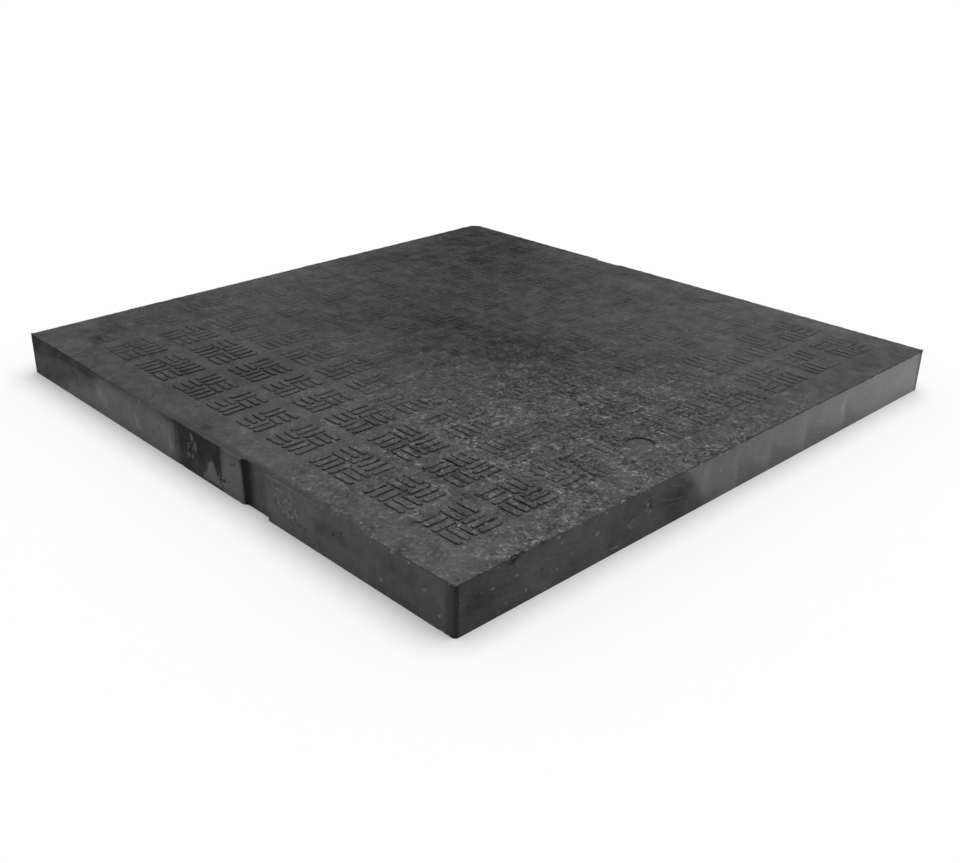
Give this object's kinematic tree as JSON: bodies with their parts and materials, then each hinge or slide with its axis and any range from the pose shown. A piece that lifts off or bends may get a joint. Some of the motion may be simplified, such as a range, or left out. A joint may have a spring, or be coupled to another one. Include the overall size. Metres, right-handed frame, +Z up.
{
  "type": "access cover",
  "caption": "Square moulded plastic access cover plate with a raised basket-weave bar tread and shallow lifting slots in opposite walls.",
  "frame": {"origin": "middle of the underside", "axes": "+Z up, out of the tread; +X along the front wall; +Y from the front wall to the back wall, both walls being those with a lifting slot"},
  "size_m": [0.4, 0.4, 0.0283],
  "materials": {
    "cover": "dull dark grey moulded plastic with small pale specks"
  },
  "bodies": {
    "root": {"cover": "cover"}
  },
  "joints": []
}
